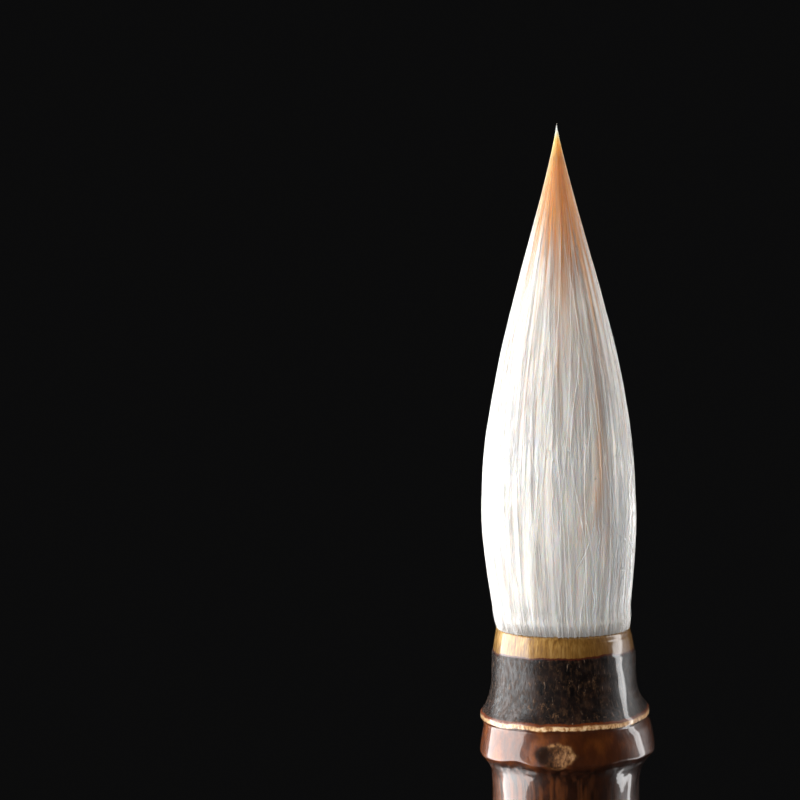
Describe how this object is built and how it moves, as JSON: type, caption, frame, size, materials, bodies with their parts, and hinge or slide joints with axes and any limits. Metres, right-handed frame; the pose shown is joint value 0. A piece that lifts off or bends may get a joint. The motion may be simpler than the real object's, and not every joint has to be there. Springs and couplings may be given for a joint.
{
  "type": "calligraphy brush",
  "caption": "Large calligraphy brush: goat-hair tuft with amber points, bound and glued in the bored head of a lacquered bamboo handle with a horn tail cap that has a hanging hole.",
  "frame": {"origin": "centre of the tail's flat end, on the culm's axis", "axes": "+Z along the culm from the tail to the hair's point; the bud scar of the head node faces -Y; the hanging hole runs along X"},
  "size_m": [0.017, 0.0174, 0.27],
  "materials": {
    "lacquered_bamboo": "high-gloss brown lacquer over a dark-barked culm, pale where the mouth is pared",
    "horn": "polished black buffalo horn with faint brown streaks",
    "hide_glue": "hard clear amber glue",
    "rosin": "melted pine rosin, clear dark amber",
    "linen_thread": "undyed waxed thread",
    "red_silk_thread": "red silk thread",
    "core_hair": "straight goat hair, tan to amber",
    "coat_hair": "straight goat hair, cream",
    "mantle_hair": "straight white goat hair, silky",
    "amber_points": "translucent amber hair points"
  },
  "bodies": {
    "handle": {"bamboo_handle": "lacquered_bamboo", "tail_cap": "horn", "tail_glue": "hide_glue", "rosin_seal": "rosin", "socket_glue": "hide_glue", "mantle_binding": "linen_thread", "core_binding": "red_silk_thread", "core_root": "core_hair", "coat_root": "coat_hair", "mantle_root": "mantle_hair", "hair_neck": "mantle_hair"},
    "belly": {"core_hair": "core_hair", "coat_hair": "coat_hair", "mantle_hair": "mantle_hair", "hair_waist": "mantle_hair"},
    "point": {"core_point": "amber_points", "coat_point": "coat_hair", "mantle_point": "mantle_hair"}
  },
  "joints": [
    {"name": "tuft_bend", "type": "hinge", "parent": "handle", "child": "belly", "pos_m": [0, 0, 0.221], "axis": [0, 1, 0], "range_deg": [-25, 25], "stiffness_Nm_per_rad": 0.03, "deforming": ["hair_neck"]},
    {"name": "point_bend", "type": "hinge", "parent": "belly", "child": "point", "pos_m": [0, 0, 0.245], "axis": [0, 1, 0], "range_deg": [-45, 45], "stiffness_Nm_per_rad": 0.006, "deforming": ["hair_waist"]}
  ]
}
